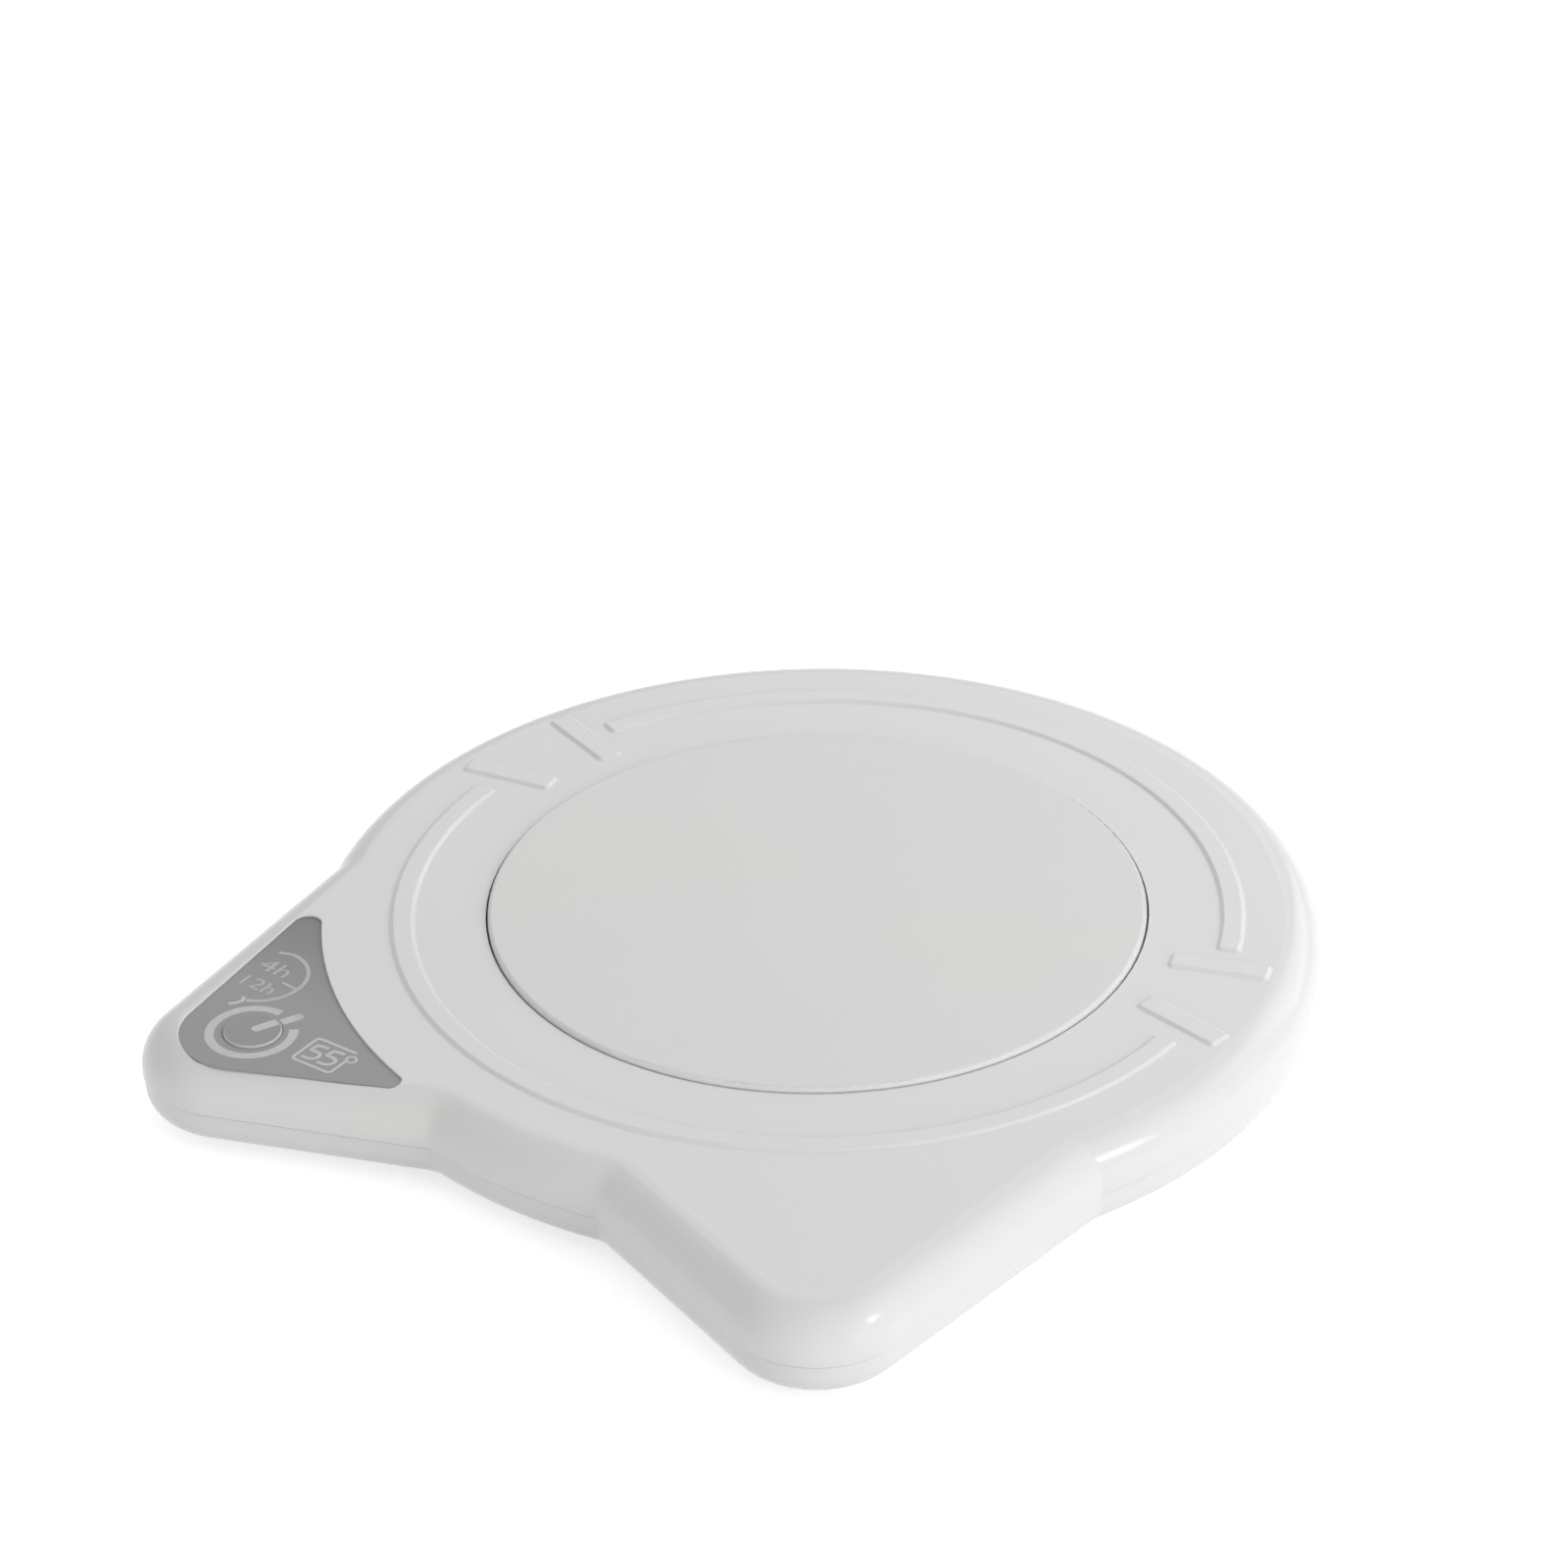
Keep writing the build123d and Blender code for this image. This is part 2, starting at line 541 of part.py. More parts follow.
with BuildPart() as insulation_pad:
    with BuildSketch(HEATER.offset(-PAD_T)):
        Circle(PAD_R)
        Circle(SENSOR_HOLE_R, mode=Mode.SUBTRACT)
        with PolarLocations(CLAMP_BOSS_DIST, 3, start_angle=180):
            Circle(CLAMP_BOSS_R + PLATE_GAP, mode=Mode.SUBTRACT)
        with Locations(INNER_TERMINAL, OUTER_TERMINAL):
            Circle(LEAD_R + PLATE_GAP, mode=Mode.SUBTRACT)
    extrude(amount=PAD_T)
save(insulation_pad.part, "insulation_pad")

with BuildPart() as clamp_plate:
    with BuildSketch(HEATER.offset(-PAD_T - CLAMP_T)):
        Circle(CLAMP_R)
        Circle(SENSOR_HOLE_R, mode=Mode.SUBTRACT)
        with PolarLocations(CLAMP_BOSS_DIST, 3, start_angle=180):
            Circle(SMALL_SCREW_R + GUIDE_GAP, mode=Mode.SUBTRACT)
        with Locations(INNER_TERMINAL, OUTER_TERMINAL):
            Circle(LEAD_R + PLATE_GAP, mode=Mode.SUBTRACT)
    extrude(amount=CLAMP_T)
save(clamp_plate.part, "clamp_plate")

clamp_spots = [polar(CLAMP_BOSS_DIST, HEATER_TURN + 60 + 120 * turn) for turn in range(3)]
clamp_screws = screws(clamp_spots, CLAMP_Z, CLAMP_T + PAD_T, SMALL_SCREW_R, SMALL_HEAD_R, SMALL_HEAD_H)
save(clamp_screws, "clamp_screws")

with BuildPart() as temperature_sensor:
    with BuildSketch(HEATER.offset(PLATE_UNDER_Z - SENSOR_H - TRACK_Z)):
        Circle(SENSOR_R)
    extrude(amount=SENSOR_H)
    fillet(temperature_sensor.edges().group_by(Axis.Z)[0], SENSOR_R / 3)
save(temperature_sensor.part, "temperature_sensor")

SENSOR_LEAD_Z = BOARD_TOP_Z + SENSOR_LEAD_R
with BuildPart() as sensor_leads:
    for side in SIDES:
        off = side * SENSOR_LEAD_OFF
        ends = [(0, PLATE_UNDER_Z - SENSOR_H), (0, SENSOR_LEAD_Z), (LEAD_END, SENSOR_LEAD_Z)]
        add(lead([heater_point(out, off, z) for out, z in ends], SENSOR_LEAD_R))
save(sensor_leads.part, "sensor_leads")

with BuildPart() as heater_leads:
    for start, terminal in ((LEAD_END, OUTER_TERMINAL), (FUSE_SPAN[0], INNER_TERMINAL)):
        out, off = terminal
        ends = [(start, LEAD_Z), (out, LEAD_Z), (out, TRACK_Z)]
        add(lead([heater_point(run, off, z) for run, z in ends], LEAD_R))
    # straight run from the thermal fuse to the control board
    fuse_end = heater_point(FUSE_SPAN[1], INNER_LEAD_OFF, LEAD_Z)
    with BuildSketch(Plane(origin=fuse_end, z_dir=HEATER.x_dir)):
        Circle(LEAD_R)
    extrude(amount=LEAD_END - FUSE_SPAN[1])
save(heater_leads.part, "heater_leads")

with BuildPart() as thermal_fuse:
    with BuildSketch(Plane(origin=fuse_end, z_dir=HEATER.x_dir)):
        Circle(FUSE_R)
    extrude(amount=FUSE_SPAN[0] - FUSE_SPAN[1])
    chamfer(thermal_fuse.edges(), FUSE_R / 5)
save(thermal_fuse.part, "thermal_fuse")

# ================================================================ controls
with BuildPart() as control_panel:
    with BuildSketch(DISC.offset(PANEL_Z)):
        add(panel_shape.sketch)
        with Locations(BUTTON_AT):
            Circle(BUTTON_R + BUTTON_GAP, mode=Mode.SUBTRACT)
    extrude(amount=PANEL_T)
save(control_panel.part, "control_panel")

with BuildPart() as button_cap:
    with BuildSketch(DISC.offset(BUTTON_FLANGE_Z)):
        with Locations(BUTTON_AT):
            Circle(BUTTON_FLANGE_R)
    extrude(amount=BUTTON_FLANGE_T)
    with BuildSketch(DISC.offset(BUTTON_FLANGE_Z)):
        with Locations(BUTTON_AT):
            Circle(BUTTON_R)
    extrude(amount=BUTTON_TOP_Z - BUTTON_FLANGE_Z)
    fillet(button_cap.edges().group_by(Axis.Z)[-1], BUTTON_CROWN)
    with BuildSketch(DISC.offset(PLUNGER_TOP_Z)):
        with Locations(BUTTON_AT):
            Circle(BUTTON_STEM_R)
    extrude(amount=BUTTON_FLANGE_Z - PLUNGER_TOP_Z)
save(button_cap.part, "button_cap")

with BuildPart() as switch_plunger:
    with BuildSketch(DISC.offset(PLUNGER_Z)):
        with Locations(BUTTON_AT):
            Circle(PLUNGER_BASE_R)
    extrude(amount=PLUNGER_BASE_H)
    with BuildSketch(DISC.offset(PLUNGER_Z)):
        with Locations(BUTTON_AT):
            Circle(PLUNGER_R)
    extrude(amount=PLUNGER_TOP_Z - PLUNGER_Z)
save(switch_plunger.part, "switch_plunger")

with BuildPart() as switch_body:
    with BuildSketch(DISC.offset(BOARD_TOP_Z)):
        with Locations(BUTTON_AT):
            Rectangle(SWITCH_SIZE, SWITCH_SIZE)
    extrude(amount=SWITCH_FLOOR + SWITCH_WELL)
    with BuildSketch(DISC.offset(WELL_Z)):
        with Locations(BUTTON_AT):
            Circle(SWITCH_WELL_R)
    extrude(amount=SWITCH_WELL, mode=Mode.SUBTRACT)
save(switch_body.part, "switch_body")

with BuildPart() as switch_cover:
    with BuildSketch(DISC.offset(SWITCH_COVER_Z)):
        with Locations(BUTTON_AT):
            Rectangle(SWITCH_SIZE, SWITCH_SIZE)
            Circle(PLUNGER_R + PLUNGER_GAP, mode=Mode.SUBTRACT)
    extrude(amount=SWITCH_COVER_T)
save(switch_cover.part, "switch_cover")

DOME = Plane(origin=(BUTTON_AT[0], BUTTON_AT[1] + DISC_Y, WELL_Z), x_dir=(1, 0, 0), z_dir=(0, -1, 0))
with BuildPart() as switch_dome:
    with BuildSketch(DOME):
        with BuildLine():
            TangentArc((0, DOME_H), (DOME_R, 0), tangent=(1, 0))
            Line((DOME_R, 0), (DOME_R - DOME_T, 0))
            TangentArc((0, DOME_H - DOME_T), (DOME_R - DOME_T, 0), tangent=(1, 0))
            Line((0, DOME_H - DOME_T), (0, DOME_H))
        make_face()
    revolve(axis=Axis(DOME.origin, (0, 0, 1)))
save(switch_dome.part, "switch_dome")

with BuildPart() as timer_light_guide:
    with BuildSketch(DISC.offset(GUIDE_Z)):
        with Locations(TIMER_AT):
            Circle(TIMER_WINDOW_R - GUIDE_GAP)
    extrude(amount=PANEL_Z - GUIDE_Z)
    with BuildSketch(DISC.offset(CEILING_Z - GUIDE_FLANGE_T)):
        with Locations(TIMER_AT):
            Circle(TIMER_WINDOW_R + GUIDE_FLANGE)
    extrude(amount=GUIDE_FLANGE_T)
save(timer_light_guide.part, "timer_light_guide")

with BuildPart() as heat_light_guide:
    with BuildSketch(DISC.offset(GUIDE_Z)):
        with Locations(HEAT_AT):
            Rectangle(*[side - 2 * GUIDE_GAP for side in HEAT_WINDOW])
    extrude(amount=PANEL_Z - GUIDE_Z)
    with BuildSketch(DISC.offset(CEILING_Z - GUIDE_FLANGE_T)):
        with Locations(HEAT_AT):
            Rectangle(*[side + 2 * GUIDE_FLANGE for side in HEAT_WINDOW])
    extrude(amount=GUIDE_FLANGE_T)
save(heat_light_guide.part, "heat_light_guide")

with BuildPart() as control_board:
    with BuildSketch(DISC.offset(BOARD_Z)):
        add(ear_outline(-1, BOARD_INSET))
        with Locations(polar(*EAR_TIP)):
            Circle(BOARD_REACH, mode=Mode.INTERSECT)
        Circle(BOARD_IN_R, mode=Mode.SUBTRACT)
        with Locations(places(CASING_SCREWS[-1:])):
            Circle(BOSS_HOLE_R, mode=Mode.SUBTRACT)
        with Locations(places(BOARD_SCREWS)):
            Circle(SMALL_SCREW_R + GUIDE_GAP, mode=Mode.SUBTRACT)
    extrude(amount=BOARD_T)
save(control_board.part, "control_board")

board_screw_l = BOARD_TOP_Z - FLOOR_Z + FOOT_SINK / 2
board_screws = screws(
    places(BOARD_SCREWS), BOARD_TOP_Z, board_screw_l, SMALL_SCREW_R, SMALL_HEAD_R, SMALL_HEAD_H, up=-1
)
save(board_screws, "board_screws")

with BuildPart() as status_leds:
    with BuildSketch(DISC.offset(BOARD_TOP_Z)):
        with Locations(TIMER_AT):
            with GridLocations(0, 2 * LED_SPREAD, 1, 2):
                Rectangle(*LED_SIZE[:2])
        with Locations(HEAT_AT):
            Rectangle(*LED_SIZE[:2])
    extrude(amount=LED_SIZE[2])
save(status_leds.part, "status_leds")

for spot, size, name in (
    (CHIP_AT, CHIP_SIZE, "control_chip"),
    (TRANSISTOR_AT, TRANSISTOR_SIZE, "power_transistor"),
):
    with BuildPart() as package:
        with BuildSketch(DISC.offset(BOARD_TOP_Z)):
            with Locations(spot):
                Rectangle(*size[:2])
        extrude(amount=size[2])
        chamfer(package.edges().group_by(Axis.Z)[-1], size[2] / 6)
    save(package.part, name)

with BuildPart() as capacitor:
    with BuildSketch(DISC.offset(BOARD_TOP_Z)):
        with Locations(CAPACITOR_AT):
            Circle(CAPACITOR_R)
    extrude(amount=CAPACITOR_H)
    fillet(capacitor.edges().group_by(Axis.Z)[-1], CAPACITOR_R / 8)
save(capacitor.part, "capacitor")

# ================================================================ supply
with BuildPart() as inlet_shell:
    with BuildSketch(INLET):
        SlotOverall(SOCKET_W, SOCKET_H)
        SlotOverall(*SOCKET_OPEN, mode=Mode.SUBTRACT)
    extrude(amount=SOCKET_DEPTH)
save(inlet_shell.part, "inlet_shell")

with BuildPart() as inlet_tongue:
    with BuildSketch(INLET):
        SlotOverall(*SOCKET_OPEN)
    extrude(amount=INSULATOR_T)
    with BuildSketch(INLET):
        Rectangle(TONGUE[0], TONGUE[2])
    extrude(amount=INSULATOR_T + TONGUE[1])
save(inlet_tongue.part, "inlet_tongue")

with BuildPart() as inlet_contacts:
    with BuildSketch(INLET.offset(INSULATOR_T)):
        with GridLocations(CONTACT_PITCH, TONGUE[2] + CONTACT_SIZE[2], CONTACTS, 2):
            Rectangle(CONTACT_SIZE[0], CONTACT_SIZE[2])
    extrude(amount=CONTACT_SIZE[1])
save(inlet_contacts.part, "inlet_contacts")

with BuildPart() as inlet_board:
    with BuildSketch(DISC.offset(INLET_BOARD_Z)):
        with Locations((0, INLET_BOARD_Y)):
            Rectangle(*INLET_BOARD[:2])
        with Locations(INLET_SCREWS):
            Circle(SMALL_SCREW_R + GUIDE_GAP, mode=Mode.SUBTRACT)
    extrude(amount=INLET_BOARD[2])
save(inlet_board.part, "inlet_board")

inlet_screw_l = INLET_BOARD_TOP_Z - FLOOR_Z + FOOT_SINK / 2
inlet_screws = screws(
    INLET_SCREWS, INLET_BOARD_TOP_Z, inlet_screw_l, SMALL_SCREW_R, SMALL_HEAD_R, SMALL_HEAD_H, up=-1
)
save(inlet_screws, "inlet_screws")

with BuildPart() as lead_connector:
    with BuildSketch(DISC.offset(INLET_BOARD_TOP_Z)):
        with Locations(CONNECTOR_AT):
            Rectangle(*CONNECTOR_SIZE[:2])
    extrude(amount=CONNECTOR_SIZE[2])
save(lead_connector.part, "lead_connector")

for arc_r, run, name in zip(SUPPLY_ARC_R, SUPPLY_RUN, ("supply_lead_positive", "supply_lead_negative")):
    with BuildPart() as supply_lead:
        with BuildLine(DISC.offset(LEAD_Z)) as route:
            bend = CenterArc((0, 0), arc_r, SUPPLY_ARC_START, SUPPLY_ARC_END - SUPPLY_ARC_START)
            PolarLine(bend @ 1, run, direction=bend % 1)
        with BuildSketch(Plane(origin=route.line @ 0, z_dir=route.line % 0)):
            Circle(LEAD_R)
        sweep()
    save(supply_lead.part, name)
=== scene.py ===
from math import cos, radians, sin

import bmesh
import bpy
from mathutils import Matrix, Vector


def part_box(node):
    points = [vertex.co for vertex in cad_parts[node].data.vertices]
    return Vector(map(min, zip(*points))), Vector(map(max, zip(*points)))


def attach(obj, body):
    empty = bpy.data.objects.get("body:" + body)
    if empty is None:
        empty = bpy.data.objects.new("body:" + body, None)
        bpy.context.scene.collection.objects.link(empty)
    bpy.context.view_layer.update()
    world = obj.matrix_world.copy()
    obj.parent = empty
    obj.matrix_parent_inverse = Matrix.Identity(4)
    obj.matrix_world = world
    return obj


# The finish of a slim white mug warmer shaped like a cat's head: its plastics, metals and rubber,
# the symbols printed on the grey control panel, and a plain studio to show it in. Metres, +Z up.

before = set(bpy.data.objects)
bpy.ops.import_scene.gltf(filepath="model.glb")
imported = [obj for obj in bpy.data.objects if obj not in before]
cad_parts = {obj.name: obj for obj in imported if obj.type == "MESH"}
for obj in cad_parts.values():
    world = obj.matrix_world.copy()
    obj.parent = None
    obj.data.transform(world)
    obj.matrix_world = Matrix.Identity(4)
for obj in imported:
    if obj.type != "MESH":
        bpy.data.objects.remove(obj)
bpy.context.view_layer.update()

MM = 0.001


# ---------------------------------------------------------------- places taken from the frame
def middle_of(low, high):
    """The middle of a box as seen from above."""
    return Vector(((low.x + high.x) / 2, (low.y + high.y) / 2, 0))


PLATE_LOW, PLATE_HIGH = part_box("heating_plate")
CENTRE = middle_of(PLATE_LOW, PLATE_HIGH)
CAP_LOW, CAP_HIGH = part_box("button_cap")
BUTTON = middle_of(CAP_LOW, CAP_HIGH)
PANEL_LOW, PANEL_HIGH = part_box("control_panel")
PANEL_MIDDLE_Y = (PANEL_LOW.y + PANEL_HIGH.y) / 2
BASE_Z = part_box("bottom_shell")[0].z

# ---------------------------------------------------------------- print, in mm from the disc's centre
INK_H = 0.02  # how far the ink stands above what it is printed on
INK_STEP = 0.003  # how far one stroke's ink stands above another's where they cross
CROSSING_H = INK_H + INK_STEP
POWER_RING_AT = (-38.2, -58.12)
POWER_RING_R = 4.85  # middle of the line
POWER_RING_LINE = 1.1
POWER_RING_ENDS = (87, 401)  # degrees, the ring's gap lies between them
POWER_BAR_TURN = 65.5  # degrees
POWER_BAR_START = -0.1  # these four are from the middle of the button
POWER_BAR_ON_CAP = 3.1  # the bar breaks off here, before the cap's rounded edge
POWER_BAR_ON_PANEL = 3.65  # and goes on from here, past the gap round the cap
POWER_BAR_REACH = 6.4
POWER_BAR_LINE = 1.2
CLOCK_AT = (-44.92, -48.36)
CLOCK_R = 5.39
CLOCK_LINE = 0.5
CLOCK_ENDS = (-69, 88)
CLOCK_TAIL = ((-44.77, -43.0), (-46.43, -43.57))
CLOCK_ARROW = ((-43.73, -52.97), (-43.3, -53.6), (-43.51, -54.18), (-43.67, -54.56), (-44.27, -55.1))
CLOCK_ARROW_CORNER = 0.15
CLOCK_HAND = ((-41.98, -48.25), (-39.4, -48.44))
CLOCK_HAND_LINE = 0.4
HOURS = (  # words, their middle, height and width
    ("4h", (-44.55, -46.3), 2.4, 4.1),
    ("12h", (-43.9, -50.1), 2.1, 4.5),
)
HEAT_FRAME = ((-25.5, -56.7), (-25.5, -59.5), (-31.05, -59.5), (-31.05, -54.7), (-25.4, -54.7))
HEAT_FRAME_LINE = 0.4
HEAT_FRAME_CORNER = 0.5
DIGIT_STARTS = ((-30.38, -58.6), (-28.14, -58.5))
DIGIT_LINE = 0.46
DIGIT_CORNER = 0.26
FIVE = (  # a figure 5's corners from the lower left end of its stroke
    (1.72, 2.9), (0.3, 2.76), (0.07, 1.58), (1.4, 1.62),
    (1.79, 1.16), (1.71, 0.52), (1.12, 0.06), (0, 0),
)
DEGREE_AT = (-25.14, -56.01)
DEGREE_R = 0.6
DEGREE_LINE = 0.3

# ---------------------------------------------------------------- how finely the print is made
FULL_TURN = 360  # degrees
ARC_STEP = 5  # degrees
ARC_LEAST = 8  # steps of even the shortest arc
CORNER_STEPS = 4
BAR_END = 0.49  # rounding of a bar's end against its width, just short of a half circle
BAR_END_STEPS = 6
LETTER_STEPS = 4
LETTER_BODY = 0.5  # half the letters' thickness, before they are scaled to the ink's
JOIN = 0.0001  # mm, points nearer than this are one point

# ---------------------------------------------------------------- finishes, sizes and places in mm
NOISE_SPAN = (0.3, 0.7)  # a cloudy noise mostly lies between these
MIX_FACTOR, MIX_FIRST, MIX_SECOND, MIX_RESULT = 0, 6, 7, 2  # a colour Mix node's sockets
GLOSS_UNEVEN = 0.15  # share by which a plain finish's roughness varies
WHITE = (0.80, 0.80, 0.80)
FLOW_CLOUD = 45  # faint flow clouds in the polished plastic
FLOW_TINT = 0.985  # a warm cloud has this share of the blue, a cool one of the red
FLOW_TINT_GREEN = 0.99  # and a cool one this share of the green
HANDLED_PATCH = 9  # duller patches from handling
HANDLED_UNEVEN = 0.08
SKIN_WAVE = 5  # the polished skin is barely wavy
SKIN_DEPTH = 0.001
POLISHED_IOR = 1.5
CLEAR_IOR = 1.49
CLEAR_SHARE = 0.85  # of the light that clear plastic lets through
BASE_CLOUD = 40
BASE_SHADE = 0.97  # a darker cloud against the plain colour
BASE_ROUGH = (0.24, 0.55)  # polished round the side, dull below
BASE_DULL_Z = (0.45, 0.25)  # above the lower shell's underside, where polished turns to dull
BASE_GRAIN = 0.35
BASE_GRAIN_DEPTH = 0.05
# colour of the painted shade in the seam under the top shell
SEAM_SHADE = (0.16, 0.155, 0.15)
SEAM_SHADE_Z = (4.33, 4.53)  # above that underside, from no painted shade to full painted shade in the seam
PANEL_GREY_AND_SHADOW = ((0.31, 0.31, 0.315), (0.185, 0.185, 0.19))  # the panel's grey at its middle, and that grey under a painted shadow at its rear end
PANEL_ROUGH = (0.34, 0.42)
PANEL_GRAIN = 0.25
PANEL_GRAIN_DEPTH = 0.003
CAP_GREY = (0.275, 0.275, 0.28)
# colour of the painted highlight along the cap's rounded edge
CAP_EDGE_HIGHLIGHT = (0.6, 0.6, 0.6)
CAP_HIGHLIGHT_REACH = (3.2, 3.3)  # from the middle of the button's face, where a painted highlight lightens its edge
INK_AND_SHADOWED_INK = ((0.64, 0.64, 0.64), (0.54, 0.54, 0.545))  # the ink, and the same ink darkened by a painted shadow over the timer's signs
INK_SHADOW_Y = (-53.6, -52.2)  # from the disc's centre, where the plain ink gives way to the ink under painted shadow
INK_UNEVEN = (0.95, 0.95, 0.95)
INK_MESH = 0.6
INK_ROUGH = 0.5
INK_GRAIN = 0.15
INK_GRAIN_DEPTH = 0.002
BOARD_GREENS = ((0.012, 0.10, 0.035), (0.015, 0.115, 0.04))
BOARD_COPPER = (0.035, 0.19, 0.07)
BOARD_FIELD = 8
BOARD_TRACK = 0.03  # width of a track against a field
BOARD_DEPTH = 0.02
BOARD_ROUGH = 0.35
PLAIN_FINISHES = {
    "feet_rubber": dict(
        colour=(0.16, 0.16, 0.165), rough=0.75, shade=0.08, blot=2, grain=0.3, depth=0.02,
    ),
    "seal_rubber": dict(colour=(0.62, 0.62, 0.61), rough=0.6, blot=3),
    "screw_steel": dict(colour=(0.55, 0.55, 0.57), rough=0.32, blot=1.5, metallic=1.0),
    "sheet_steel": dict(
        colour=(0.58, 0.585, 0.59), rough=0.38, blot=4, metallic=1.0, stretch=(1, 12, 1),
    ),
    "inlet_steel": dict(
        colour=(0.66, 0.66, 0.67), rough=0.28, blot=2, metallic=1.0, stretch=(1, 6, 1),
    ),
    "film_amber": dict(colour=(0.42, 0.17, 0.025), rough=0.25, blot=5, depth=0.002),
    "track_metal": dict(colour=(0.52, 0.46, 0.40), rough=0.42, blot=2, metallic=1.0),
    "pad_felt": dict(
        colour=(0.66, 0.64, 0.60), rough=0.95, shade=0.1, blot=1.2, grain=0.2, depth=0.08,
    ),
    "black_plastic": dict(colour=(0.018, 0.018, 0.019), rough=0.5, shade=0.1, blot=1, grain=0.15),
    "connector_white": dict(colour=(0.76, 0.74, 0.68), rough=0.45, blot=2),
    "capacitor_can": dict(colour=(0.60, 0.60, 0.61), rough=0.35, blot=1.5, metallic=1.0),
    "contact_gold": dict(colour=(0.83, 0.60, 0.24), rough=0.25, blot=1, metallic=1.0),
    "lead_red": dict(colour=(0.42, 0.02, 0.015), rough=0.45, blot=3),
    "lead_black": dict(colour=(0.016, 0.016, 0.017), rough=0.45, blot=3),
    "lead_white": dict(colour=(0.72, 0.72, 0.70), rough=0.45, blot=3),
    "sensor_glass": dict(colour=(0.05, 0.045, 0.04), rough=0.12, blot=1),
}

# ---------------------------------------------------------------- camera and studio
CAMERA_TURN = 35.1  # degrees round from the front of the warmer
CAMERA_PLACE = (3.595, -509.27, 324.46)  # mm, from the disc's top before that turn
CAMERA_HEADING = 35.92
CAMERA_DIP = 31.13
CAMERA_ROLL = -0.9026
CAMERA_LENS = 117.0  # mm on a 36 mm sensor
CAMERA_CLIP = 0.01  # metres
PLATE_RAISE = 0.6  # mm, the heating plate above the disc's top
DISC_TOP = PLATE_HIGH.z / MM - PLATE_RAISE  # mm
FLOOR_REACH = 4.0  # metres each way from the middle
FLOOR_GREY = (0.82, 0.82, 0.82)
FLOOR_ROUGH = 0.9
FLOOR_GLOW = 0.62  # lifts the lit floor to pure white where it is seen directly
SKY_LIGHT = 0.45  # the world's light on the warmer
LAMPS = (  # name, place as seen from the front of the picture and width in mm, power in W, mirrored
    ("key", (705, -271, 490), 185, 0.70, True),
    ("front_low", (-120, -520, 70), 220, 0.12, False),
    ("front_right", (330, -330, 120), 240, 0.74, False),
    ("front_left_low", (-350, -350, 60), 200, 0.31, False),
    ("right_near", (260, 60, 220), 200, 0.16, False),
    ("back_right", (350, 350, 250), 300, 0.32, True),
    ("back_high", (0, 600, 450), 500, 0.52, True),
)


# ================================================================ materials
def start_material(name):
    """A new material with the parts that every finish is wired from."""
    material = bpy.data.materials.new(name)
    material.use_nodes = True
    nodes, links = material.node_tree.nodes, material.node_tree.links
    return material, nodes, links, nodes["Principled BSDF"]


def along_axis(nodes, links, axis):
    """How far a point of the piece lies along X, Y or Z, in metres."""
    place = nodes.new("ShaderNodeTexCoord")
    split = nodes.new("ShaderNodeSeparateXYZ")
    links.new(place.outputs["Object"], split.inputs["Vector"])
    return split.outputs[axis]


def pattern(nodes, links, size, detail=3.0, stretch=(1, 1, 1)):
    """Cloudy noise whose blots are about that size in mm."""
    place = nodes.new("ShaderNodeTexCoord")
    turn = nodes.new("ShaderNodeMapping")
    turn.inputs["Scale"].default_value = stretch
    noise = nodes.new("ShaderNodeTexNoise")
    noise.inputs["Scale"].default_value = 1 / (size * MM)
    noise.inputs["Detail"].default_value = detail
    links.new(place.outputs["Object"], turn.inputs["Vector"])
    links.new(turn.outputs["Vector"], noise.inputs["Vector"])
    return noise.outputs["Fac"]


def ramp(nodes, links, source, start, end, low=0.0, high=1.0):
    """Goes evenly from low to high while the source goes from start to end."""
    span = nodes.new("ShaderNodeMapRange")
    span.inputs["From Min"].default_value = start
    span.inputs["From Max"].default_value = end
    span.inputs["To Min"].default_value = low
    span.inputs["To Max"].default_value = high
    links.new(source, span.inputs["Value"])
    return span.outputs["Result"]


def spread(nodes, links, noise, low=0.0, high=1.0):
    """Turns a noise into values between low and high."""
    return ramp(nodes, links, noise, *NOISE_SPAN, low, high)


def mixed(nodes, links, factor, first, second):
    """A colour that goes from the first to the second; each is three numbers or a node's output."""
    mix = nodes.new("ShaderNodeMix")
    mix.data_type = "RGBA"
    links.new(factor, mix.inputs[MIX_FACTOR])
    for seat, colour in ((MIX_FIRST, first), (MIX_SECOND, second)):
        if isinstance(colour, bpy.types.NodeSocket):
            links.new(colour, mix.inputs[seat])
        else:
            mix.inputs[seat].default_value = (*colour, 1)
    return mix.outputs[MIX_RESULT]


def relief(nodes, links, shader, height, depth):
    """Bump of that depth in mm."""
    bump = nodes.new("ShaderNodeBump")
    bump.inputs["Strength"].default_value = 1.0
    bump.inputs["Distance"].default_value = depth * MM
    links.new(height, bump.inputs["Height"])
    links.new(bump.outputs["Normal"], shader.inputs["Normal"])


def plain_finish(
    name, colour, rough, shade=0.04, blot=6.0, grain=0.4, depth=0.004, metallic=0.0, stretch=(1, 1, 1)
):
    """A finish with slightly uneven colour and gloss and a fine grain; blot, grain and depth in mm."""
    material, nodes, links, shader = start_material(name)
    blots = pattern(nodes, links, blot, stretch=stretch)
    darker = [channel * (1 - shade) for channel in colour]
    lighter = [min(channel * (1 + shade), 1) for channel in colour]
    base = mixed(nodes, links, spread(nodes, links, blots), darker, lighter)
    links.new(base, shader.inputs["Base Color"])
    gloss = spread(nodes, links, blots, rough * (1 - GLOSS_UNEVEN), rough * (1 + GLOSS_UNEVEN))
    links.new(gloss, shader.inputs["Roughness"])
    relief(nodes, links, shader, pattern(nodes, links, grain, stretch=stretch), depth)
    shader.inputs["Metallic"].default_value = metallic
    return material


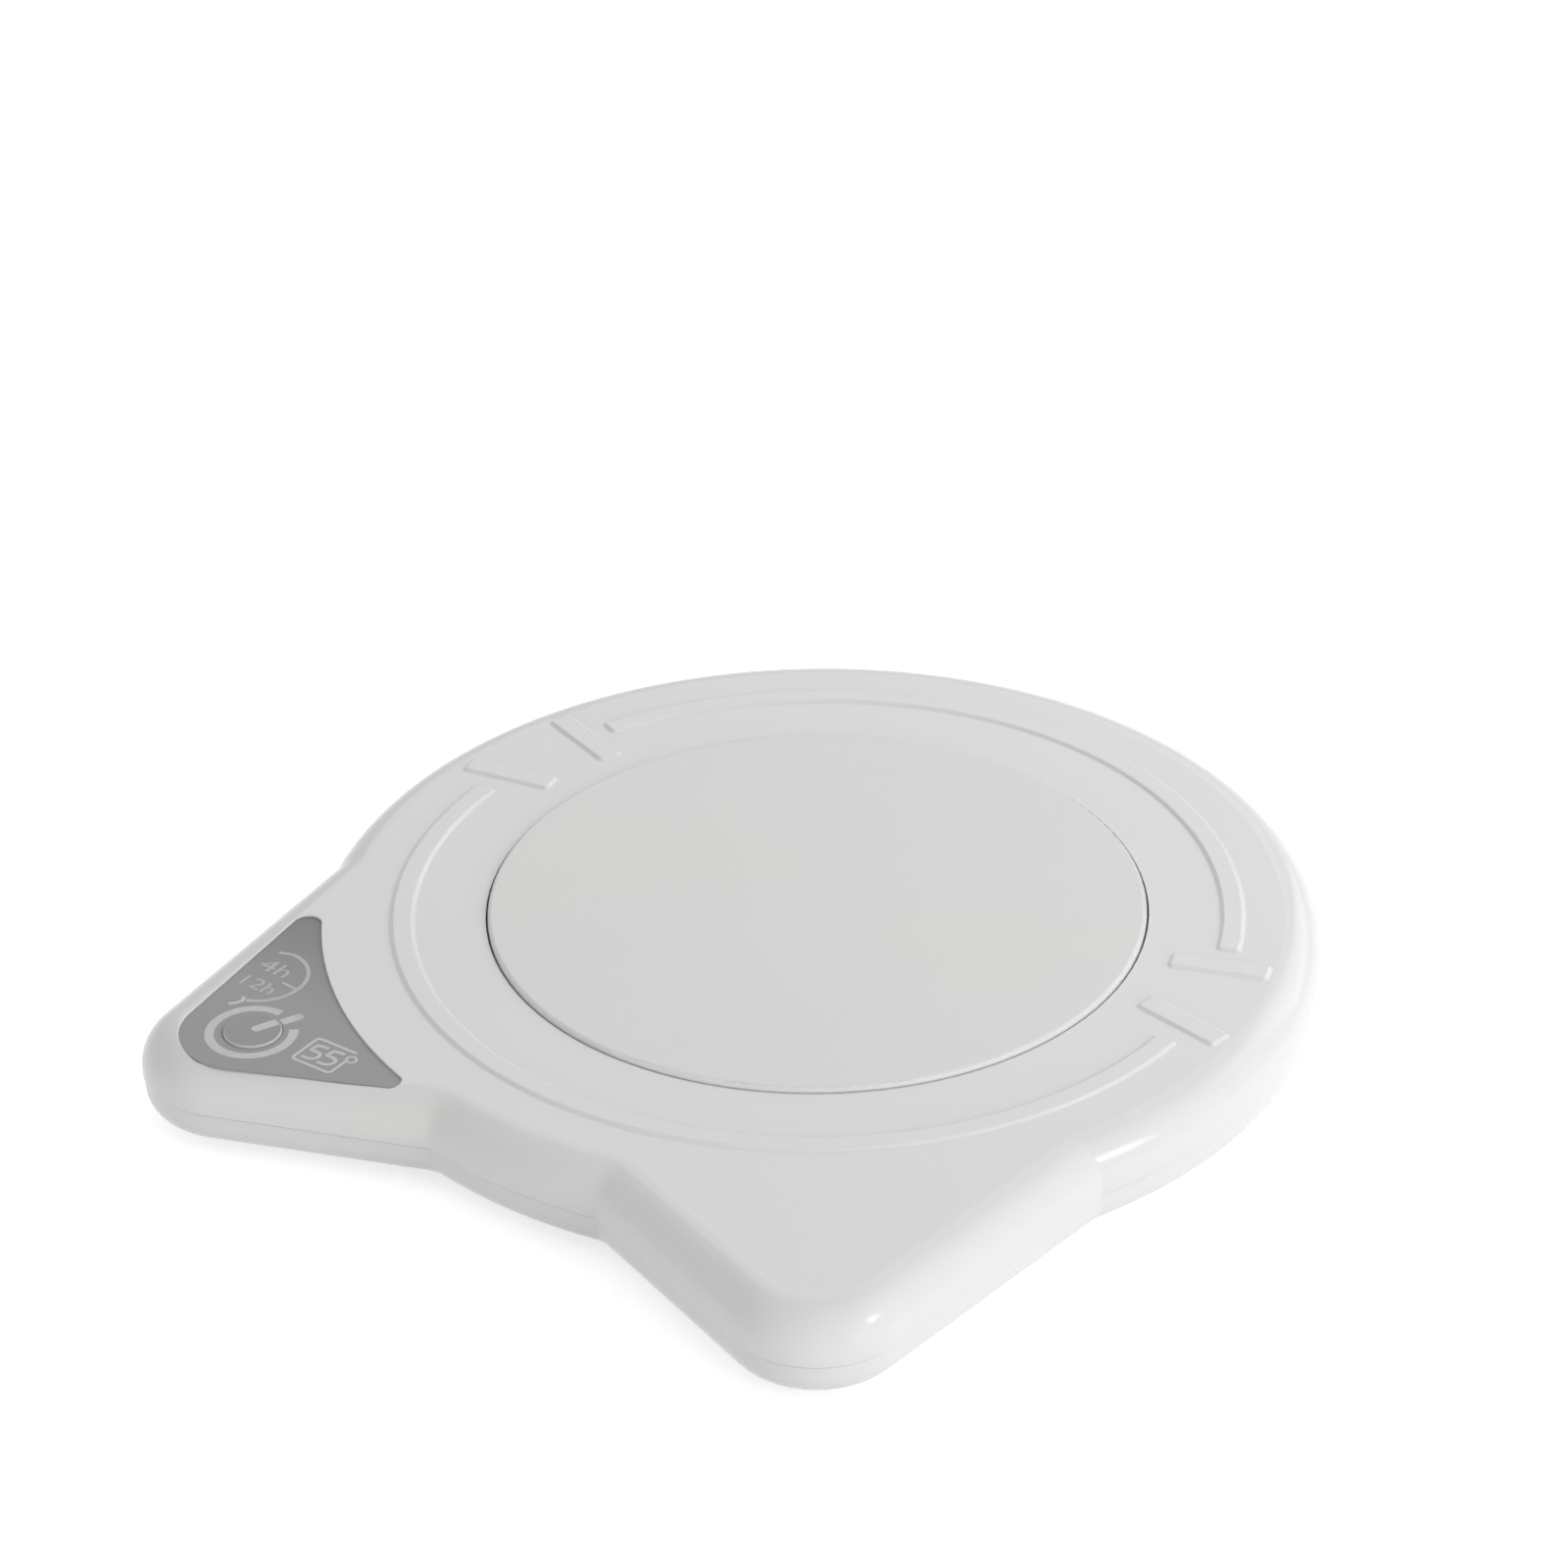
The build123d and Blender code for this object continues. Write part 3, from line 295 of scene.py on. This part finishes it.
def gloss_white(name, colour, rough):
    """Polished white plastic: faint flow clouds, a barely wavy skin and a few duller patches."""
    material, nodes, links, shader = start_material(name)
    red, green, blue = colour
    warm = (red, green, blue * FLOW_TINT)
    cool = (red * FLOW_TINT, green * FLOW_TINT_GREEN, blue)
    flow = spread(nodes, links, pattern(nodes, links, FLOW_CLOUD, detail=2))
    links.new(mixed(nodes, links, flow, warm, cool), shader.inputs["Base Color"])
    handled = pattern(nodes, links, HANDLED_PATCH, detail=4)
    gloss = spread(nodes, links, handled, rough * (1 - HANDLED_UNEVEN), rough * (1 + HANDLED_UNEVEN))
    links.new(gloss, shader.inputs["Roughness"])
    relief(nodes, links, shader, pattern(nodes, links, SKIN_WAVE, detail=1), SKIN_DEPTH)
    shader.inputs["IOR"].default_value = POLISHED_IOR
    return material


def base_plastic(name, colour):
    """The lower shell's plastic: polished round the side with painted shade in the seam, dull and
    grained below.
    """
    material, nodes, links, shader = start_material(name)
    height = along_axis(nodes, links, "Z")
    under = ramp(nodes, links, height, *[BASE_Z + z * MM for z in BASE_DULL_Z])
    # painted shade: the top of the lower shell darkens where it meets the top shell
    seam_shade = ramp(nodes, links, height, *[BASE_Z + z * MM for z in SEAM_SHADE_Z])
    darker = [channel * BASE_SHADE for channel in colour]
    flow = spread(nodes, links, pattern(nodes, links, BASE_CLOUD, detail=2))
    clean = mixed(nodes, links, flow, darker, colour)
    links.new(mixed(nodes, links, seam_shade, clean, SEAM_SHADE), shader.inputs["Base Color"])
    links.new(ramp(nodes, links, under, 0, 1, *BASE_ROUGH), shader.inputs["Roughness"])
    only_under = nodes.new("ShaderNodeMath")
    only_under.operation = "MULTIPLY"
    links.new(pattern(nodes, links, BASE_GRAIN, detail=4), only_under.inputs[0])
    links.new(under, only_under.inputs[1])
    relief(nodes, links, shader, only_under.outputs["Value"], BASE_GRAIN_DEPTH)
    return material


def panel_film(name):
    """The printed grey overlay: satin, with a painted shadow that darkens it from its middle to its
    rear end.
    """
    material, nodes, links, shader = start_material(name)
    # painted shadow: the grey darkens from the panel's middle to its rear end
    panel_shadow = ramp(nodes, links, along_axis(nodes, links, "Y"), PANEL_MIDDLE_Y, PANEL_HIGH.y)
    links.new(mixed(nodes, links, panel_shadow, *PANEL_GREY_AND_SHADOW), shader.inputs["Base Color"])
    screen = pattern(nodes, links, PANEL_GRAIN, detail=2)
    links.new(spread(nodes, links, screen, *PANEL_ROUGH), shader.inputs["Roughness"])
    relief(nodes, links, shader, screen, PANEL_GRAIN_DEPTH)
    return material


def cap_plastic(name, colour, edge):
    """The button's satin plastic, with a painted highlight along its rounded edge."""
    material = plain_finish(name, colour, rough=0.3, shade=0.02, blot=3, depth=0.001)
    nodes, links = material.node_tree.nodes, material.node_tree.links
    place = nodes.new("ShaderNodeTexCoord")
    from_middle = nodes.new("ShaderNodeVectorMath")
    from_middle.operation = "DISTANCE"
    from_middle.inputs[1].default_value = (BUTTON.x, BUTTON.y, CAP_HIGH.z)
    links.new(place.outputs["Object"], from_middle.inputs[0])
    # painted highlight: the cap's colour turns lighter at its rounded edge
    edge_highlight = ramp(nodes, links, from_middle.outputs["Value"], *[reach * MM for reach in CAP_HIGHLIGHT_REACH])
    base = nodes["Principled BSDF"].inputs["Base Color"]
    links.new(mixed(nodes, links, edge_highlight, base.links[0].from_socket, edge), base)
    return material


def ink(name):
    """Pale screen-printed ink, a little uneven, and darkened by a painted shadow over the timer's
    signs.
    """
    material, nodes, links, shader = start_material(name)
    # painted shadow: the ink darkens towards the panel's rear, over the timer's signs
    ends = [CENTRE.y + y * MM for y in INK_SHADOW_Y]
    ink_shadow = ramp(nodes, links, along_axis(nodes, links, "Y"), *ends)
    mesh = spread(nodes, links, pattern(nodes, links, INK_MESH))
    uneven = nodes.new("ShaderNodeMix")
    uneven.data_type = "RGBA"
    uneven.blend_type = "MULTIPLY"
    uneven.inputs[MIX_FACTOR].default_value = 1.0
    links.new(mixed(nodes, links, ink_shadow, *INK_AND_SHADOWED_INK), uneven.inputs[MIX_FIRST])
    links.new(mixed(nodes, links, mesh, INK_UNEVEN, (1, 1, 1)), uneven.inputs[MIX_SECOND])
    links.new(uneven.outputs[MIX_RESULT], shader.inputs["Base Color"])
    shader.inputs["Roughness"].default_value = INK_ROUGH
    relief(nodes, links, shader, pattern(nodes, links, INK_GRAIN), INK_GRAIN_DEPTH)
    return material


def clear_finish(name, colour, rough):
    """Clear moulded plastic."""
    material = plain_finish(name, colour, rough, shade=0.02)
    shader = material.node_tree.nodes["Principled BSDF"]
    shader.inputs["Transmission Weight"].default_value = CLEAR_SHARE
    shader.inputs["IOR"].default_value = CLEAR_IOR
    return material


def board_finish(name):
    """Green solder mask, lighter where copper lies under it."""
    material, nodes, links, shader = start_material(name)
    place = nodes.new("ShaderNodeTexCoord")
    tracks = nodes.new("ShaderNodeTexBrick")
    tracks.inputs["Scale"].default_value = 1 / (BOARD_FIELD * MM)
    tracks.inputs["Mortar Size"].default_value = BOARD_TRACK
    tracks.inputs["Color1"].default_value = (*BOARD_GREENS[0], 1)
    tracks.inputs["Color2"].default_value = (*BOARD_GREENS[1], 1)
    tracks.inputs["Mortar"].default_value = (*BOARD_COPPER, 1)
    links.new(place.outputs["Object"], tracks.inputs["Vector"])
    links.new(tracks.outputs["Color"], shader.inputs["Base Color"])
    relief(nodes, links, shader, tracks.outputs["Fac"], BOARD_DEPTH)
    shader.inputs["Roughness"].default_value = BOARD_ROUGH
    return material


finishes = {
    "shell_white": gloss_white("shell_white", WHITE, rough=0.17),
    "base_white": base_plastic("base_white", WHITE),
    "plate_enamel": gloss_white("plate_enamel", colour=(0.78, 0.78, 0.775), rough=0.32),
    "panel_grey": panel_film("panel_grey"),
    "button_grey": cap_plastic("button_grey", CAP_GREY, CAP_EDGE_HIGHLIGHT),
    "panel_print": ink("panel_print"),
    "guide_clear": clear_finish("guide_clear", colour=(0.92, 0.94, 0.95), rough=0.2),
    "led_clear": clear_finish("led_clear", colour=(0.95, 0.90, 0.70), rough=0.15),
    "board_green": board_finish("board_green"),
}
for name, facts in PLAIN_FINISHES.items():
    finishes[name] = plain_finish(name, **facts)

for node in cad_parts.values():
    for seat in node.material_slots:
        seat.material = finishes[seat.material.name.split(".")[0]]


# ================================================================ print on the controls
def spot(x, y):
    """A point in mm from the disc's centre."""
    return CENTRE + Vector((x, y, 0)) * MM


def around(middle, radius, angle):
    """A point round another one, its radius in mm and its angle in degrees."""
    return middle + Vector((cos(radians(angle)), sin(radians(angle)), 0)) * radius * MM


def arc(at, radius, start, end):
    """The wire of a round line about a place in mm from the disc's centre."""
    wire = bmesh.new()
    middle = spot(*at)
    turn = end - start
    bmesh.ops.spin(
        wire, geom=[wire.verts.new(around(middle, radius, start))], cent=middle, axis=(0, 0, 1),
        angle=radians(turn), steps=max(ARC_LEAST, round(turn / ARC_STEP)), use_merge=turn == FULL_TURN,
    )
    return wire


def polyline(points, corner=0.0):
    """The wire of a line through places in mm from the disc's centre, its corners rounded."""
    wire = bmesh.new()
    verts = [wire.verts.new(spot(*point)) for point in points]
    for first, second in zip(verts, verts[1:]):
        wire.edges.new((first, second))
    if corner:
        bmesh.ops.bevel(
            wire, geom=verts[1:-1], offset=corner * MM, offset_type="OFFSET", segments=CORNER_STEPS,
            profile=0.5, affect="VERTICES", material=-1,
        )
    return wire


def stroke(name, wire, width, height=INK_H):
    """A printed line of even width along a wire: the wire raised to a wall, then thickened."""
    wall = bmesh.ops.extrude_edge_only(wire, edges=wire.edges[:])
    tops = [part for part in wall["geom"] if isinstance(part, bmesh.types.BMVert)]
    bmesh.ops.translate(wire, vec=(0, 0, height * MM), verts=tops)
    bmesh.ops.recalc_face_normals(wire, faces=wire.faces[:])
    mesh = bpy.data.meshes.new(name)
    wire.to_mesh(mesh)
    wire.free()
    line = bpy.data.objects.new(name, mesh)
    bpy.context.scene.collection.objects.link(line)
    thick = line.modifiers.new("width", "SOLIDIFY")
    thick.thickness = width * MM
    thick.offset = 0
    thick.use_even_offset = True
    bpy.context.view_layer.update()
    solid = bpy.data.meshes.new_from_object(line.evaluated_get(bpy.context.evaluated_depsgraph_get()))
    bpy.data.objects.remove(line)
    return solid


def power_bar(name, near, far, round_ends):
    """The bar between two distances in mm from the button's middle, each end round or square."""
    start = around(BUTTON, near, POWER_BAR_TURN)
    end = around(BUTTON, far, POWER_BAR_TURN)
    run = end - start
    bm = bmesh.new()
    made = bmesh.ops.create_grid(bm, x_segments=1, y_segments=1, size=0.5)  # a unit square
    shape = Matrix.Diagonal((run.length, POWER_BAR_LINE * MM, 1, 1))
    bmesh.ops.transform(bm, matrix=shape, verts=made["verts"])
    ends = [vert for vert in made["verts"] if round_ends[vert.co.x > 0]]
    bmesh.ops.bevel(
        bm, geom=ends, offset=POWER_BAR_LINE * BAR_END * MM, offset_type="OFFSET",
        segments=BAR_END_STEPS, profile=0.5, affect="VERTICES", material=-1,
    )
    place = Matrix.Translation((start + end) / 2) @ run.to_track_quat("X", "Z").to_matrix().to_4x4()
    bmesh.ops.transform(bm, matrix=place, verts=bm.verts[:])
    top = bmesh.ops.extrude_face_region(bm, geom=bm.faces[:])
    raised = [part for part in top["geom"] if isinstance(part, bmesh.types.BMVert)]
    bmesh.ops.translate(bm, vec=(0, 0, INK_H * MM), verts=raised)
    mesh = bpy.data.meshes.new(name)
    bm.to_mesh(mesh)
    bm.free()
    return mesh


def letters(words, middle, height, width):
    """Printed letters that fill a box of that height and width in mm."""
    curve = bpy.data.curves.new(words, "FONT")
    curve.body = words
    curve.extrude = LETTER_BODY
    curve.resolution_u = LETTER_STEPS
    sign = bpy.data.objects.new(words, curve)
    bpy.context.scene.collection.objects.link(sign)
    mesh = bpy.data.meshes.new_from_object(sign)
    bpy.data.objects.remove(sign)
    low = [min(vert.co[axis] for vert in mesh.vertices) for axis in range(3)]
    high = [max(vert.co[axis] for vert in mesh.vertices) for axis in range(3)]
    centre = Vector([(a + b) / 2 for a, b in zip(low, high)])
    size = [wanted / (b - a) for wanted, a, b in zip((width, height, INK_H), low, high)]
    shape = Matrix.Diagonal((*size, 1)) @ Matrix.Translation(-centre)
    lift = Vector((0, 0, INK_H / 2 * MM))
    mesh.transform(Matrix.Translation(middle + lift) @ Matrix.Scale(MM, 4) @ shape)
    return mesh


def lay_print(name, meshes, height, body):
    """Joins printed shapes into one piece at that height, riding on a body."""
    bm = bmesh.new()
    for mesh in meshes:
        bm.from_mesh(mesh)
    bmesh.ops.translate(bm, vec=(0, 0, height), verts=bm.verts[:])
    bmesh.ops.remove_doubles(bm, verts=bm.verts[:], dist=JOIN * MM)
    bmesh.ops.recalc_face_normals(bm, faces=bm.faces[:])
    joined = bpy.data.meshes.new(name)
    bm.to_mesh(joined)
    bm.free()
    piece = bpy.data.objects.new(name, joined)
    bpy.context.scene.collection.objects.link(piece)
    joined.materials.append(finishes["panel_print"])
    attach(piece, body)


def five(start):
    """The wire of a figure 5 whose stroke ends at that place."""
    x, y = start
    return polyline([(x + right, y + up) for right, up in FIVE], DIGIT_CORNER)


ring = stroke("power_ring", arc(POWER_RING_AT, POWER_RING_R, *POWER_RING_ENDS), POWER_RING_LINE)
outer_bar = power_bar("power_bar", POWER_BAR_ON_PANEL, POWER_BAR_REACH, round_ends=(False, True))
lay_print("print_power_ring", [ring, outer_bar], PANEL_HIGH.z, "casing")

cap_bar = power_bar("cap_bar", POWER_BAR_START, POWER_BAR_ON_CAP, round_ends=(True, False))
lay_print("print_power_bar", [cap_bar], CAP_HIGH.z, "power_button")

timer = [
    stroke("clock_face", arc(CLOCK_AT, CLOCK_R, *CLOCK_ENDS), CLOCK_LINE),
    stroke("clock_tail", polyline(CLOCK_TAIL), CLOCK_LINE, CROSSING_H),
    stroke("clock_arrow", polyline(CLOCK_ARROW, CLOCK_ARROW_CORNER), CLOCK_LINE, CROSSING_H),
    stroke("clock_hand", polyline(CLOCK_HAND), CLOCK_HAND_LINE, CROSSING_H),
]
timer += [letters(words, spot(*place), height, width) for words, place, height, width in HOURS]
lay_print("print_timer", timer, PANEL_HIGH.z, "casing")

heat = [
    stroke("heat_frame", polyline(HEAT_FRAME, HEAT_FRAME_CORNER), HEAT_FRAME_LINE),
    stroke("degree", arc(DEGREE_AT, DEGREE_R, 0, FULL_TURN), DEGREE_LINE),
]
heat += [stroke("figure", five(start), DIGIT_LINE) for start in DIGIT_STARTS]
lay_print("print_heat", heat, PANEL_HIGH.z, "casing")


# ================================================================ studio
def seen_directly(nodes, links):
    """One where a surface is seen straight, in a gloss or through something clear, else zero."""
    path = nodes.new("ShaderNodeLightPath")
    seen = path.outputs["Is Camera Ray"]
    for ray in ("Is Glossy Ray", "Is Transmission Ray"):
        either = nodes.new("ShaderNodeMath")
        either.operation = "MAXIMUM"
        links.new(seen, either.inputs[0])
        links.new(path.outputs[ray], either.inputs[1])
        seen = either.outputs["Value"]
    return seen


def floor_finish(name):
    """Pale floor that shows as pure white where no shadow falls on it."""
    material, nodes, links, shader = start_material(name)
    shader.inputs["Base Color"].default_value = (*FLOOR_GREY, 1)
    shader.inputs["Roughness"].default_value = FLOOR_ROUGH
    shader.inputs["Specular IOR Level"].default_value = 0.0
    strength = nodes.new("ShaderNodeMath")
    strength.operation = "MULTIPLY"
    strength.inputs[1].default_value = FLOOR_GLOW
    links.new(seen_directly(nodes, links), strength.inputs[0])
    shader.inputs["Emission Color"].default_value = (1, 1, 1, 1)
    links.new(strength.outputs["Value"], shader.inputs["Emission Strength"])
    return material


def lay_floor(name):
    """The plain floor the warmer stands on."""
    bm = bmesh.new()
    bmesh.ops.create_grid(bm, x_segments=1, y_segments=1, size=FLOOR_REACH)
    mesh = bpy.data.meshes.new(name)
    bm.to_mesh(mesh)
    bm.free()
    mesh.materials.append(floor_finish(name))
    floor = bpy.data.objects.new(name, mesh)
    bpy.context.scene.collection.objects.link(floor)


def backdrop_sky():
    """The world: white where it is seen, and a soft even light otherwise."""
    world = bpy.data.worlds.new("studio")
    bpy.context.scene.world = world
    world.use_nodes = True
    nodes, links = world.node_tree.nodes, world.node_tree.links
    sky = nodes["Background"]
    sky.inputs["Color"].default_value = (1, 1, 1, 1)
    strength = ramp(nodes, links, seen_directly(nodes, links), 0, 1, SKY_LIGHT, 1.0)
    links.new(strength, sky.inputs["Strength"])


def in_view(place):
    """A place in mm, given as seen from the front of the picture, turned to the frame's axes."""
    return Matrix.Rotation(radians(CAMERA_TURN), 4, "Z") @ Vector(place)


def softbox(name, place, width, power, mirrored):
    """A square lamp facing the warmer, which polished surfaces mirror or not."""
    lamp = bpy.data.lights.new(name, "AREA")
    lamp.shape = "SQUARE"
    lamp.size = width * MM
    lamp.energy = power
    box = bpy.data.objects.new(name, lamp)
    bpy.context.scene.collection.objects.link(box)
    box.visible_glossy = mirrored
    where = CENTRE + in_view(place) * MM
    aim = (CENTRE - where).to_track_quat("-Z", "Y")
    box.matrix_world = Matrix.Translation(where) @ aim.to_matrix().to_4x4()


def place_camera():
    """The camera, looking down at the warmer from its front right."""
    camera = bpy.data.objects.new("camera", bpy.data.cameras.new("camera"))
    bpy.context.scene.collection.objects.link(camera)
    bpy.context.scene.camera = camera
    camera.data.lens = CAMERA_LENS
    camera.data.clip_start = CAMERA_CLIP
    stand = in_view(CAMERA_PLACE) + Vector((0, 0, DISC_TOP))
    camera.matrix_world = (
        Matrix.Translation(CENTRE + stand * MM)
        @ Matrix.Rotation(radians(CAMERA_HEADING), 4, "Z")
        @ Matrix.Rotation(radians(90 - CAMERA_DIP), 4, "X")
        @ Matrix.Rotation(radians(CAMERA_ROLL), 4, "Z")
    )


lay_floor("studio_floor")
backdrop_sky()
for lamp_facts in LAMPS:
    softbox(*lamp_facts)
place_camera()
bpy.context.scene.view_settings.view_transform = "Standard"
